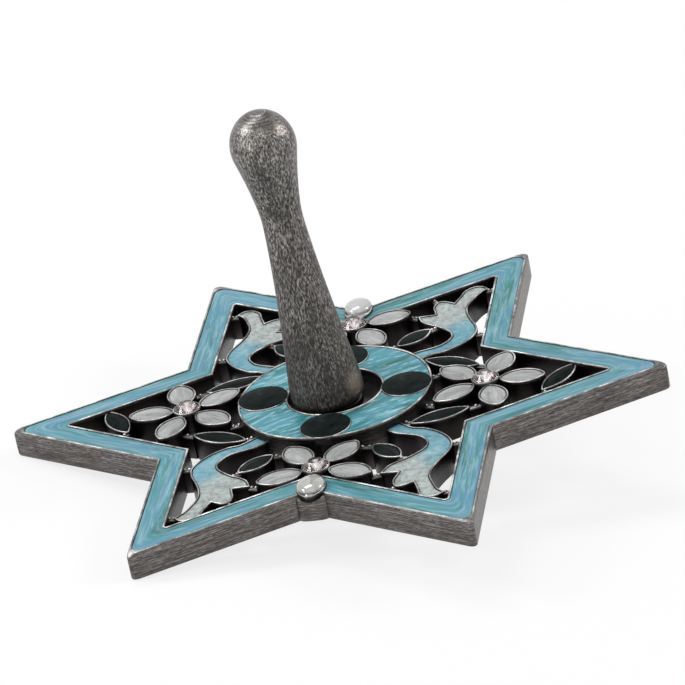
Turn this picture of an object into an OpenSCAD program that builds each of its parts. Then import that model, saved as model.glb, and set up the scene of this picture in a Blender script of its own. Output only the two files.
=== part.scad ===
// Star-shaped dreidel: a pierced pewter star with cells of enamel and clear
// stones, a turned handle above it and a spin point below it.
// Lengths are in millimetres. The tip of the spin point is the origin and the
// spin axis is +Z. +X runs to one tip of the star, +Y to the notch between two.

/* [Star] */
// Distance from the spin axis to a tip of the star
star_r = 38.4; // [34:0.2:44]
// Thickness of the star at its rim
plate_t = 3.3; // [2.6:0.1:5]
// Width of the rim band
rim_w = 3.4; // [2.8:0.1:3.8]
// Width of the bare metal along the rim's outer edge
edge_w = 0.4; // [0.3:0.05:0.6]
// Radius that rounds the six tips
tip_round_r = 0.4; // [0.2:0.1:1.2]
// Radius in the corners of the opening inside the rim
inner_round_r = 0.25; // [0.1:0.05:0.5]
// Width of the bare metal line round each cell
line_w = 0.3; // [0.25:0.05:0.4]
// Depth of the cells that hold the enamel
cell_depth = 0.6; // [0.4:0.05:0.9]
// How far the enamel's edge lies below the metal lines
enamel_drop = 0.1; // [0.05:0.05:0.2]

/* [Centre ring] */
// Outer radius of the centre ring
ring_r = 11.2; // [10.4:0.1:12]
// How far the ring's face stands above the rim's
ring_rise = 0.75; // [0.2:0.05:1.2]
// Radius of the well that the handle's foot stands in
well_r = 5.45; // [5.2:0.05:6]
// Depth of the well below the ring's face
well_depth = 1.75; // [1.2:0.05:2.4]
// Radius of the seat in the well, under the handle's foot
seat_r = 3; // [2.5:0.1:3.6]
// Height of the seat above the floor of the well
seat_h = 0.9; // [0.6:0.05:1.2]
// How far the four round spots bulge past the ring's edge
spot_bulge_w = 0.1; // [0.05:0.05:0.25]
// How far the dome of a spot's enamel rises
spot_dome = 0.3; // [0.1:0.05:0.4]

/* [Flowers] */
// How far the flowers stand above the rim's face
flower_rise = 0.3; // [0.1:0.05:0.6]
// Distance from a flower's centre to the near end of its petals
petal_from_r = 1.4; // [1.3:0.05:1.6]
// Length of a petal
petal_len = 5.6; // [5.2:0.1:5.9]
// Width of a petal
petal_w = 3.4; // [3:0.1:3.6]
// How far the dome of a petal's enamel rises
petal_dome = 0.2; // [0.1:0.05:0.4]
// How far the dome of the two petals that cross the rim rises
pearl_dome = 0.9; // [0.4:0.1:1.2]
// Distance from the spin axis to the front of the boss under such a petal
boss_r = 23.5; // [22.5:0.1:25]
// Width of such a boss
boss_w = 4; // [3:0.1:5]
// Diameter of a stone across its girdle
stone_d = 2.8; // [2.5:0.1:3]
// Height of a stone's girdle band
girdle_h = 0.2; // [0.1:0.05:0.3]
// Height of a stone above its girdle
crown_h = 0.65; // [0.4:0.05:0.9]
// Height of a stone below its girdle
pavilion_h = 1; // [0.7:0.05:1.3]
// Width of a stone's flat table
table_d = 1.5; // [1.1:0.1:1.8]
// Width of a stone's flat foot
culet_d = 0.7; // [0.4:0.1:1]
// Wall of the cup round a stone
cup_wall = 0.2; // [0.15:0.05:0.3]
// How far a cup stands above its petals
cup_rise = 0.25; // [0.1:0.05:0.4]
// Gap between a stone and its cup
stone_gap = 0.05; // [0.02:0.01:0.1]

/* [Leaves and scrolls] */
// How far the leaves and scrolls lie below the rim's face
leaf_drop = 0.3; // [0.1:0.05:0.5]
// Length of the leaves near two of the star's tips
tip_leaf_len = 7; // [6.6:0.1:7.4]
// Length of the leaves beside the ring
ring_leaf_len = 7.4; // [6.8:0.1:7.8]
// Length of the leaves beside the flowers in the notches
notch_leaf_len = 5.2; // [4.6:0.1:5.6]
// Width of a leaf
leaf_w = 2.6; // [2.2:0.1:2.8]
// How far the dome of a leaf's enamel rises
leaf_dome = 0.2; // [0.1:0.05:0.4]
// Width of the small ties that join the ornaments
tie_w = 0.9; // [0.6:0.1:1.2]
// How far a tie reaches into what it joins
tie_hold_len = 0.2; // [0.1:0.05:0.25]

/* [Handle] */
// Height of the handle from its foot to its crown
handle_h = 36.25; // [32:0.25:42]
// Diameter of the foot
foot_d = 8.4; // [7.4:0.1:8.8]
// Rounding of the foot's lower edge
foot_round_r = 1; // [0.5:0.1:1.2]
// Diameter of the narrow neck
neck_d = 4.66; // [4.2:0.02:5.6]
// Height of the neck above the foot
neck_h = 23.1; // [18:0.1:26]
// Diameter of the rounded head
head_d = 7.5; // [6.5:0.1:9]
// Height of the head's crown above its widest place
crown_rise = 4.15; // [3:0.05:5]
// How far the foot stands off the spin axis, towards -X
handle_offset = 0.75; // [0:0.05:0.8]
// Degrees that the handle leans towards -X
handle_lean = 3; // [0:0.5:4]

/* [Spin point] */
// Height of the star's underside above the tip of the point
point_h = 6.4; // [5.6:0.1:8]
// Diameter of the collar under the star
collar_d = 6.4; // [5.8:0.1:7.4]
// Radius of the rounded tip
nose_r = 0.8; // [0.5:0.1:1.2]
// Depth of the socket that the collar stands in
socket_depth = 0.8; // [0.5:0.1:1.2]
// Diameter of the shank that holds the handle
shank_d = 3; // [2.6:0.1:3.2]
// How far the shank reaches into the handle
shank_grip_len = 7; // [4:0.5:8]
// Gap round the shank and the collar in their holes
shank_gap = 0.05; // [0.02:0.01:0.1]
// Room in the handle's hole past the end of the shank
hole_spare_len = 0.5; // [0.2:0.1:1]

/* [Hidden] */
$fn = 64;

// Segments round the wide spheres that dome the enamel
dome_fn = 240;
// How far a cut runs past the face that it opens
overrun = 1;

// Heights of the faces
rim_z = point_h + plate_t;
ring_z = rim_z + ring_rise;
flower_z = rim_z + flower_rise;
leaf_z = rim_z - leaf_drop;
cup_z = flower_z + cup_rise;
well_z = ring_z - well_depth;
seat_z = well_z + seat_h;

// Tip radius of the opening inside the rim
arm_r = star_r - 2 * rim_w;

// Places on the way from the ring, 0, to the opening's tip radius, 1
flower_share = 0.302;
tip_leaf_share = 0.71;
ring_leaf_share = 0.15;
notch_leaf_share = 0.22;

// Share of an almond's half length at which its ends are cut round
blunt_share = 0.95;

// Angles that place and turn the leaves in the first quadrant
ring_leaf_angle = 27;
ring_leaf_turn = -21.5;
notch_leaf_angle = 61.5;
notch_leaf_turn = 45;
tip_leaf_turn = 60;

// Outline of the scroll in the first quadrant, as runs between its sharp
// corners: degrees from +X, and the share of the way from ring to opening
scroll_shares = [
    [[41.5, -0.02], [41.5, 0.1], [39, 0.17], [38.5, 0.26], [39.5, 0.35],
        [42, 0.435], [46, 0.49], [51, 0.535], [55, 0.59], [57.5, 0.655],
        [58.5, 0.735], [59, 0.815], [58.5, 0.875]],
    [[58.5, 0.875], [60.5, 0.89], [62.5, 0.865], [63.5, 0.805],
        [63, 0.74], [62.5, 0.66]],
    [[62.5, 0.66], [65, 0.665], [67, 0.655], [67.5, 0.62], [67, 0.575],
        [65.5, 0.535], [64, 0.5]],
    [[64, 0.5], [69, 0.455]],
    [[69, 0.455], [66, 0.4], [62.5, 0.38], [58.5, 0.375], [54.5, 0.365],
        [50.5, 0.35], [47.5, 0.315], [46, 0.26], [46, 0.2], [48, 0.14],
        [50.5, 0.085], [52, 0.03], [52.5, -0.02]]
];
// Straight pieces between two points of a scroll's run
scroll_steps = 2;

// Places on the scroll that the ties reach: its outer bend, its last curl,
// its second lobe, its first lobe and the body beside the short leaf
bend_shares = [43, 0.41];
curl_shares = [59.5, 0.85];
lobe_shares = [66, 0.62];
barb_shares = [66.5, 0.455];
body_shares = [57, 0.44];

quadrants = [[1, 1], [-1, 1], [-1, -1], [1, -1]];
tip_leaf_quadrants = [[1, 1], [-1, 1]];

function polar(r, a) = [r * cos(a), r * sin(a)];
function way(share) = ring_r + share * (arm_r - ring_r);
function place(shares) = polar(way(shares[1]), shares[0]);
function unit(v) = v / norm(v);
function flip(p, q) = [p.x * q.x, p.y * q.y];
function angle_of(p) = atan2(p.y, p.x);

// Points of a six-pointed star with rounded tips
function star_points(r, round_r) = [
    for (i = [0:5])
        for (p = concat(
            [for (a = [-60:15:60]) polar(r - 2 * round_r, 60 * i) + polar(round_r, 60 * i + a)],
            [polar(r * tan(30), 60 * i + 30)]
        )) p
];

// A smooth run through points: Catmull and Rom's curve, without its last point
function at_end(pts, i) = pts[min(max(i, 0), len(pts) - 1)];
function blend(a, b, c, d, t) =
    (2 * b + (c - a) * t + (2 * a - 5 * b + 4 * c - d) * t * t
        + (3 * b - a - 3 * c + d) * t * t * t) / 2;
function smooth_run(pts, steps) = [
    for (i = [0:len(pts) - 2])
        for (k = [0:steps - 1])
            blend(at_end(pts, i - 1), pts[i], pts[i + 1], at_end(pts, i + 2), k / steps)
];

// A counter-clockwise outline moved inwards by a distance, without the points
// that come nearer to it than that
near_share = 0.97;
function side_normal(a, b) = let (d = unit(b - a)) [-d.y, d.x];
function off_side(p, a, b) =
    let (d = b - a, t = min(max((p - a) * d / (d * d), 0), 1)) norm(p - a - t * d);
function off_outline(p, pts) =
    min([for (i = [0:len(pts) - 1]) off_side(p, pts[i], pts[(i + 1) % len(pts)])]);
function moved(pts, gap) = [
    for (i = [0:len(pts) - 1])
        let (
            n = len(pts),
            u = side_normal(pts[(i + n - 1) % n], pts[i]),
            v = side_normal(pts[i], pts[(i + 1) % n])
        )
        pts[i] + gap * (u + v) / max(1 + u * v, 0.5)
];
function inset(pts, gap) = [for (p = moved(pts, gap)) if (off_outline(p, pts) > near_share * gap) p];

scroll_outline = [for (run = scroll_shares) each smooth_run([for (s = run) place(s)], scroll_steps)];

flower_at = way(flower_share);
spot_at = (well_r + ring_r) / 2;
spot_outer = (ring_r - well_r) / 2 + spot_bulge_w;
stone_r = stone_d / 2;
cup_r = stone_r + cup_wall;

function flower_centre(side) = polar(flower_at, 90 * side);
function petal_tip(side, a) =
    flower_centre(side) + polar(petal_from_r + (1 + blunt_share) * petal_len / 2 - tie_hold_len, a);
function leaf_end(centre, turn, l, sign) =
    centre + polar(sign * (blunt_share * l / 2 - tie_hold_len), turn);

// The points just inside the rim and the ring that lie straight across from a point
function to_rim(p, a) = p + polar(arm_r / 2 + tie_hold_len - p * polar(1, a), a);
function to_ring(p) = polar(ring_r - tie_hold_len, angle_of(p));

ring_leaf_centre = place([ring_leaf_angle, ring_leaf_share]);
notch_leaf_centre = place([notch_leaf_angle, notch_leaf_share]);
tip_leaf_centre = place([0, tip_leaf_share]);

ring_leaf_in = leaf_end(ring_leaf_centre, ring_leaf_turn, ring_leaf_len, -1);
ring_leaf_out = leaf_end(ring_leaf_centre, ring_leaf_turn, ring_leaf_len, 1);
notch_leaf_in = leaf_end(notch_leaf_centre, notch_leaf_turn, notch_leaf_len, -1);
notch_leaf_out = leaf_end(notch_leaf_centre, notch_leaf_turn, notch_leaf_len, 1);
tip_leaf_low = leaf_end(tip_leaf_centre, tip_leaf_turn, tip_leaf_len, -1);

// The ties of the first quadrant, each between two points
ties = [
    [ring_leaf_in, to_ring(ring_leaf_in)],
    [ring_leaf_out, flower_centre(0) + polar(petal_from_r + petal_len / 2, 72)],
    [petal_tip(0, 144), to_ring(petal_tip(0, 144))],
    [petal_tip(0, 72), to_rim(petal_tip(0, 72), 60)],
    [petal_tip(1, 18), place(barb_shares)],
    [petal_tip(1, -54), to_ring(petal_tip(1, -54))],
    [petal_tip(1, -54), notch_leaf_in],
    [notch_leaf_out, place(body_shares)],
    [place(bend_shares), to_rim(place(bend_shares), 0)],
    [place(curl_shares), to_rim(place(curl_shares), 0)],
    [place(lobe_shares), to_rim(place(lobe_shares), 120)]
];

// Flat outlines
module star2d(r, round_r) polygon(star_points(r, round_r));

module rim2d() difference() {
    star2d(star_r, tip_round_r);
    star2d(arm_r, inner_round_r);
}

// An almond with blunt ends, along X, moved inwards by a gap
module almond2d(l, w, gap = 0) {
    bow_r = (l * l + w * w) / (4 * w);
    intersection() {
        translate([0, bow_r - w / 2]) circle(bow_r - gap);
        translate([0, w / 2 - bow_r]) circle(bow_r - gap);
        circle(blunt_share * l / 2 - gap);
    }
}

module petal2d(side, a, gap = 0)
    translate(flower_centre(side)) rotate(a) translate([petal_from_r + petal_len / 2, 0])
        almond2d(petal_len, petal_w, gap);

// A flower from the petal numbered first; the petal across the rim is 0
module flower2d(side, first = 0) {
    for (k = [first:4]) petal2d(side, 90 * side + 72 * k);
    translate(flower_centre(side)) circle(cup_r);
}

module spot2d(side, gap = 0) translate(polar(spot_at, 90 * side)) circle(spot_outer - gap);

module hub2d() {
    circle(ring_r);
    for (side = [0:3]) spot2d(side);
}

module scroll2d(q, gap = 0)
    polygon([for (p = gap > 0 ? inset(scroll_outline, gap) : scroll_outline) flip(p, q)]);

module leaf2d(centre, turn, l, gap = 0)
    translate(centre) rotate(turn) almond2d(l, leaf_w, gap);

module ring_leaf2d(q, gap = 0)
    scale_signs(q) leaf2d(ring_leaf_centre, ring_leaf_turn, ring_leaf_len, gap);

module notch_leaf2d(q, gap = 0)
    scale_signs(q) leaf2d(notch_leaf_centre, notch_leaf_turn, notch_leaf_len, gap);

module tip_leaf2d(q, gap = 0)
    scale_signs(q) leaf2d(tip_leaf_centre, tip_leaf_turn, tip_leaf_len, gap);

// Turns the first quadrant into the quadrant whose signs are given
module scale_signs(q)
    mirror([q.x < 0 ? 1 : 0, 0, 0]) mirror([0, q.y < 0 ? 1 : 0, 0]) children();

module tie2d(p, q)
    translate(p) rotate(angle_of(q - p)) translate([0, -tie_w / 2]) square([norm(q - p), tie_w]);

// Outlines of the cells
module rim_channel2d() difference() {
    star2d(star_r - 2 * edge_w, tip_round_r);
    star2d(arm_r + 2 * line_w, inner_round_r + line_w);
}

module rim_cell2d() difference() {
    rim_channel2d();
    flower2d(1);
    flower2d(3);
}

module ring_cell2d() difference() {
    circle(ring_r - line_w);
    circle(well_r + line_w);
    for (side = [0:3]) spot2d(side);
}

module scroll_cell2d(q) difference() {
    scroll2d(q, line_w);
    hub2d();
}

module tip_leaf_cell2d(q) difference() {
    intersection() {
        tip_leaf2d(q, line_w);
        star2d(arm_r, inner_round_r);
    }
    flower2d(q.x > 0 ? 0 : 2);
}

// Solids between two heights
module column(low, high) translate([0, 0, low]) linear_extrude(high - low) children();

module cell(face_z) column(face_z - cell_depth, rim_z + ring_rise + overrun) children();

// A fill that ends just below the lines
module fill(face_z) column(face_z - cell_depth, face_z - enamel_drop) children();

// A fill with a low dome whose foot is a circle of the given reach
module domed_fill(face_z, centre, reach, rise) {
    dome_r = (reach * reach + rise * rise) / (2 * rise);
    edge_z = face_z - enamel_drop;
    intersection() {
        column(face_z - cell_depth, edge_z + rise) children();
        translate([centre.x, centre.y, edge_z + rise - dome_r]) sphere(dome_r, $fn = dome_fn);
    }
}

// The plane that the handle stands on
module at_handle() translate([-handle_offset, 0, seat_z]) rotate([0, -handle_lean, 0]) children();

// The pierced casting, from its lowest level up
module star_casting() color("dimgray") {
    ornament_level();
    flower_level();
    hub_level();
}

module ornament_level() difference() {
    column(point_h, leaf_z) {
        for (q = quadrants) {
            scroll2d(q);
            ring_leaf2d(q);
            notch_leaf2d(q);
            scale_signs(q) for (t = ties) tie2d(t[0], t[1]);
        }
        for (q = tip_leaf_quadrants) {
            tip_leaf2d(q);
            scale_signs(q) tie2d(tip_leaf_low, to_rim(tip_leaf_low, -60));
        }
        for (side = [1, 3]) boss2d(side);
    }
    cell(leaf_z) for (q = quadrants) {
        scroll2d(q, line_w);
        ring_leaf2d(q, line_w);
        notch_leaf2d(q, line_w);
    }
    cell(leaf_z) for (q = tip_leaf_quadrants) tip_leaf2d(q, line_w);
}

module flower_level() difference() {
    union() {
        difference() {
            column(point_h, rim_z) rim2d();
            cell(rim_z) rim_channel2d();
        }
        for (side = [0:3]) {
            column(point_h, flower_z) flower2d(side, side % 2);
            column(point_h, cup_z) translate(flower_centre(side)) circle(cup_r);
        }
        // The petals across the rim overhang their bosses
        for (side = [1, 3]) column(leaf_z - tie_hold_len, flower_z) petal2d(side, 90 * side);
    }
    for (side = [0:3]) {
        for (k = [0:4]) cell(flower_z) petal_cell2d(side, k);
        stone_seat(side);
    }
}

module hub_level() difference() {
    column(point_h, ring_z) hub2d();
    cell(ring_z) ring_cell2d();
    for (side = [0:3]) cell(ring_z) spot2d(side, line_w);
    well();
    translate([0, 0, point_h - overrun]) {
        cylinder(h = plate_t + ring_rise + 2 * overrun, d = shank_d + 2 * shank_gap);
        cylinder(h = socket_depth + overrun, d = collar_d + 2 * shank_gap);
    }
}

module petal_cell2d(side, k) difference() {
    petal2d(side, 90 * side + 72 * k, line_w);
    translate(flower_centre(side)) circle(cup_r);
}

module boss2d(side) intersection() {
    circle(boss_r);
    rotate(90 * side) translate([arm_r / 2, -boss_w / 2]) square([boss_r, boss_w]);
}

// The well round the seat of the handle
module well() difference() {
    translate([0, 0, well_z]) cylinder(h = well_depth + overrun, r = well_r);
    difference() {
        translate([0, 0, well_z - overrun]) cylinder(h = seat_h + 2 * overrun, r = seat_r);
        at_handle() cylinder(h = well_depth + overrun, r = 2 * well_r);
    }
}

module stone_seat(side) {
    translate(concat(flower_centre(side), cup_z - girdle_h - pavilion_h))
        cylinder(h = girdle_h + pavilion_h + overrun, r = stone_r + stone_gap);
}

// Enamel
module rim_enamel(sign) color("mediumturquoise") fill(rim_z) intersection() {
    rim_cell2d();
    translate([sign > 0 ? 0 : -star_r, -star_r]) square([star_r, 2 * star_r]);
}

module ring_enamel(q) color("mediumturquoise") fill(ring_z) intersection() {
    ring_cell2d();
    scale_signs(q) square(ring_r);
}

module spot(side) color("darkslategray")
    domed_fill(ring_z, polar(spot_at, 90 * side), spot_outer - line_w, spot_dome) spot2d(side, line_w);

module petal(side, k, rise)
    domed_fill(flower_z, flower_centre(side) + polar(petal_from_r + petal_len / 2, 90 * side + 72 * k),
        petal_len / 2, rise) petal_cell2d(side, k);

module petals(side, first) color("gainsboro") for (k = [first:4]) petal(side, k, petal_dome);

module pearl_petal(side) color("whitesmoke") petal(side, 0, pearl_dome);

module scroll(q) color("paleturquoise") fill(leaf_z) scroll_cell2d(q);

module tip_leaf(q) color("darkslategray")
    domed_fill(leaf_z, flip(tip_leaf_centre, q), tip_leaf_len / 2, leaf_dome) tip_leaf_cell2d(q);

module ring_leaves(side) color("darkslategray") for (q = quadrants) if (q.x == side)
    domed_fill(leaf_z, flip(ring_leaf_centre, q), ring_leaf_len / 2, leaf_dome) ring_leaf2d(q, line_w);

module notch_leaves(side) color("darkslategray") for (q = quadrants) if (q.y == side)
    domed_fill(leaf_z, flip(notch_leaf_centre, q), notch_leaf_len / 2, leaf_dome) notch_leaf2d(q, line_w);

// A brilliant with eight main facets, in its cup
module stone(side) color("azure") translate(concat(flower_centre(side), cup_z - girdle_h - pavilion_h)) {
    cylinder(h = pavilion_h, d1 = culet_d, d2 = stone_d);
    translate([0, 0, pavilion_h]) cylinder(h = girdle_h, d = stone_d);
    translate([0, 0, pavilion_h + girdle_h]) intersection() {
        cylinder(h = crown_h, d1 = stone_d, d2 = table_d, $fn = 8);
        rotate(22.5) cylinder(h = crown_h, d1 = stone_d, d2 = table_d, $fn = 8);
    }
}

// Handle
head_r = head_d / 2;
neck_r = neck_d / 2;
foot_r = foot_d / 2;
head_z = handle_h - crown_rise;
// Share of the way from neck to foot where the flare ends, and its power
flare_share = 0.9;
flare_power = 1.4;
// Degrees below its widest place at which the head passes into the neck
head_dip = 15;

join_r = head_r * cos(head_dip);
join_z = head_z - crown_rise * sin(head_dip);
join_slope = head_r / crown_rise * tan(head_dip);
join_power = join_slope * (join_z - neck_h) / (join_r - neck_r);

handle_profile = concat(
    [[0, 0]],
    [for (a = [-90:15:0]) [foot_r - foot_round_r, foot_round_r] + polar(foot_round_r, a)],
    [for (s = [1:-0.1:0.1])
        [neck_r + (foot_r - neck_r) * pow(s, flare_power), neck_h * (1 - flare_share * s)]],
    [for (s = [0:0.125:0.9])
        [neck_r + (join_r - neck_r) * pow(s, join_power), neck_h + (join_z - neck_h) * s]],
    [for (a = [-head_dip:7.5:82.5]) [head_r * cos(a), head_z + crown_rise * sin(a)]],
    [[0, handle_h]]
);

module handle() color("gray") difference() {
    at_handle() rotate_extrude() polygon(handle_profile);
    translate([0, 0, point_h])
        cylinder(h = seat_z + shank_grip_len + hole_spare_len - point_h, d = shank_d + 2 * shank_gap);
}

// Spin point, with its collar and shank in one
collar_r = collar_d / 2;
// Degrees between the spin axis and the flank of the point
flank = 35;
flank_z = nose_r - nose_r * sin(flank) + (collar_r - nose_r * cos(flank)) / tan(flank);
collar_z = point_h + socket_depth;

point_profile = concat(
    [for (a = [-90:5:-flank]) [0, nose_r] + polar(nose_r, a)],
    [[collar_r, flank_z], [collar_r, collar_z], [0, collar_z]]
);

module spin_point() color("darkgray") {
    rotate_extrude() polygon(point_profile);
    translate([0, 0, collar_z]) cylinder(h = seat_z + shank_grip_len - collar_z, d = shank_d);
}

star_casting();
rim_enamel(1);  // rim_enamel_east
rim_enamel(-1);  // rim_enamel_west
ring_enamel([1, 1]);  // ring_enamel_ne
ring_enamel([-1, 1]);  // ring_enamel_nw
ring_enamel([-1, -1]);  // ring_enamel_sw
ring_enamel([1, -1]);  // ring_enamel_se
spot(0);  // spot_east
spot(1);  // spot_north
spot(2);  // spot_west
spot(3);  // spot_south
petals(0, 0);  // petals_east
petals(1, 1);  // petals_north
petals(2, 0);  // petals_west
petals(3, 1);  // petals_south
pearl_petal(1);  // pearl_petal_north
pearl_petal(3);  // pearl_petal_south
scroll([1, 1]);  // scroll_ne
scroll([-1, 1]);  // scroll_nw
scroll([-1, -1]);  // scroll_sw
scroll([1, -1]);  // scroll_se
tip_leaf([1, 1]);  // tip_leaf_east
tip_leaf([-1, 1]);  // tip_leaf_west
ring_leaves(1);  // ring_leaves_east
ring_leaves(-1);  // ring_leaves_west
notch_leaves(1);  // notch_leaves_north
notch_leaves(-1);  // notch_leaves_south
stone(0);  // stone_east
stone(1);  // stone_north
stone(2);  // stone_west
stone(3);  // stone_south
handle();
spin_point();
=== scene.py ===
import math

import bmesh
import bpy
from mathutils import Matrix, Vector


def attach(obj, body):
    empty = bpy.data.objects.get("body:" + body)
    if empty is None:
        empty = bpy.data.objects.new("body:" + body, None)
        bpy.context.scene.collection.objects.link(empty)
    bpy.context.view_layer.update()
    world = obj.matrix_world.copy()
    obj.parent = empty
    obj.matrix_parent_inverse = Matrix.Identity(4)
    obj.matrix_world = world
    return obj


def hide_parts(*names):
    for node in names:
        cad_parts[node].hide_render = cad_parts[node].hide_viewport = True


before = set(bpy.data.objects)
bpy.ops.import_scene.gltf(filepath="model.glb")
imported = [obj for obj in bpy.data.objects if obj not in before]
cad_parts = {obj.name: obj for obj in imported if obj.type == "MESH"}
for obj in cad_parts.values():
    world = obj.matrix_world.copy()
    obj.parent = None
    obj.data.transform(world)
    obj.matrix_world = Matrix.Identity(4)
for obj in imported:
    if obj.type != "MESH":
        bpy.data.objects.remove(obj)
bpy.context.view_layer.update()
print("frame loaded")

scene = bpy.context.scene
mm = 0.001
mergeGap = 0.0005  # points nearer than this are one point
flowUnit = 10  # millimetres to one unit of the flow map
almondShare = 0.95  # of its half length, where an almond's end is cut round

# Heights shared by the whole star, in millimetres from the tip of the point
levels = {"bottom": 6.4, "rim": 9.7, "ring": 10.45, "flower": 10.0, "leaf": 9.4, "cup": 10.25}


# Flat outlines, in millimetres, counter-clockwise


def polar(radius, degrees):
    a = math.radians(degrees)
    return Vector((radius * math.cos(a), radius * math.sin(a)))


# Two arcs with blunt ends, the form of every leaf and petal
def almondOutline(length, width, gap, steps=12):
    bow = (length**2 + width**2) / (4 * width)
    lift = bow - width / 2
    arc = bow - gap
    end = almondShare * length / 2 - gap
    half = max((arc**2 - end**2 - lift**2) / (2 * lift), 0.03)  # half the width of the blunt end
    reach = math.sqrt(max(arc**2 - (half + lift) ** 2, 0.0))
    first = math.atan2(half + lift, reach)
    bows = [first + (math.pi - 2 * first) * k / steps for k in range(steps + 1)]
    upper = [Vector((arc * math.cos(a), arc * math.sin(a) - lift)) for a in bows]
    far, blunt = math.hypot(half, reach), math.atan2(half, reach)
    ends = [math.pi + blunt * t for t in (-0.5, 0.0, 0.5)]
    upper += [Vector((far * math.cos(a), far * math.sin(a))) for a in ends]
    return upper + [-p for p in upper]


# A smooth curve through the points, without the last of them
def smoothRun(points, steps):
    run = []
    for i in range(len(points) - 1):
        a, b, c = points[max(i - 1, 0)], points[i], points[i + 1]
        d = points[min(i + 2, len(points) - 1)]
        for k in range(steps):
            t = k / steps
            twice = 2 * b + (c - a) * t
            twice += (2 * a - 5 * b + 4 * c - d) * t**2
            twice += (3 * b - a - 3 * c + d) * t**3
            run.append(twice / 2)
    return run


def distanceToSide(p, a, b):
    d = b - a
    t = min(max((p - a).dot(d) / d.dot(d), 0.0), 1.0)
    return (p - a - d * t).length


def insetOutline(points, gap, mitreLimit=0.3, nearShare=0.96):
    if gap <= 0:
        return list(points)
    count = len(points)
    sides = [(points[i], points[(i + 1) % count]) for i in range(count)]
    normals = []
    for a, b in sides:
        d = (b - a).normalized()
        normals.append(Vector((-d.y, d.x)))
    moved = []
    for i in range(count):
        u, v = normals[i - 1], normals[i]
        moved.append(points[i] + gap * (u + v) / max(1 + u.dot(v), mitreLimit))
    good = [min(distanceToSide(p, a, b) for a, b in sides) > nearShare * gap for p in moved]
    # a point that came too near a side goes between its good neighbours
    placed = []
    for i in range(count):
        before, after = i, i
        while not good[before]:
            before -= 1
        while not good[after % count]:
            after += 1
        placed.append((moved[before] + moved[after % count]) / 2)
    return placed


# The star's quarters are alike, so an outline is flipped by the signs of its quarter
def flipped(points, signs):
    return [Vector((p.x * signs[0], p.y * signs[1])) for p in points]


def placedAt(points, centre, degrees, signs=(1, 1)):
    c, s = math.cos(math.radians(degrees)), math.sin(math.radians(degrees))
    turned = [Vector((p.x * c - p.y * s + centre.x, p.x * s + p.y * c + centre.y)) for p in points]
    return flipped(turned, signs)


# Building with bmesh


def newMesh():
    bm = bmesh.new()
    bm.loops.layers.uv.new("flow")
    bm.verts.layers.float.new("patinaAndShade")
    return bm


def addLoop(bm, points, z, patinaAndShade):
    layer = bm.verts.layers.float["patinaAndShade"]
    verts = [bm.verts.new((p.x, p.y, z)) for p in points]
    for v in verts:
        v[layer] = patinaAndShade
    return verts, [bm.edges.new((verts[i - 1], verts[i])) for i in range(len(verts))]


# Joins rings of (outline, height, patina and painted shade) in turn, and the flow map runs along the outline.
# No two rings in turn lie in one plane, because the bridge could then join them crosswise.
def loft(bm, rings, closed=False, capFirst=False, capLast=False):
    flow = bm.loops.layers.uv["flow"]
    loops = [addLoop(bm, *ring) for ring in rings]
    first = rings[0][0]
    count = len(first)
    along = [0.0]
    for i in range(count):
        along.append(along[-1] + (first[(i + 1) % count] - first[i]).length)
    across = [0.0]
    for (a, za, _), (b, zb, _) in zip(rings, rings[1:] + rings[:1]):
        across.append(across[-1] + math.hypot((a[count // 2] - b[count // 2]).length, za - zb))
    place = {v: (i, k) for k, (verts, _) in enumerate(loops) for i, v in enumerate(verts)}
    for k in list(range(len(loops) - 1)) + ([-1] if closed else []):
        made = bmesh.ops.bridge_loops(bm, edges=loops[k][1] + loops[k + 1][1])
        for face in made["faces"]:
            corners = [place[corner.vert] for corner in face.loops]
            wraps = {i for i, _ in corners} >= {0, count - 1}
            for corner, (i, ring) in zip(face.loops, corners):
                u = along[count] if wraps and i == 0 else along[i]
                v = across[len(loops)] if k == -1 and ring == 0 else across[ring]
                corner[flow].uv = (u / flowUnit, v / flowUnit)
    for wanted, (_, edges) in ((capFirst, loops[0]), (capLast, loops[-1])):
        if wanted:
            made = bmesh.ops.triangle_fill(bm, use_beauty=True, edges=edges)
            for face in (g for g in made["geom"] if isinstance(g, bmesh.types.BMFace)):
                for corner in face.loops:
                    corner[flow].uv = corner.vert.co.xy / flowUnit
    return [v for verts, _ in loops for v in verts]


# Flow of a leaf or petal, along its own length; each starts at another place in the pattern
def flowAlong(bm, verts, centre, degrees, signs=(1, 1)):
    flow = bm.loops.layers.uv["flow"]
    c, s = math.cos(math.radians(degrees)), math.sin(math.radians(degrees))
    for v in verts:
        x, y = v.co.x * signs[0] - centre.x, v.co.y * signs[1] - centre.y
        along, across = x * c + y * s + centre.x * 3, y * c - x * s + centre.y * 3
        for corner in v.link_loops:
            corner[flow].uv = (along / flowUnit, across / flowUnit)
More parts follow.
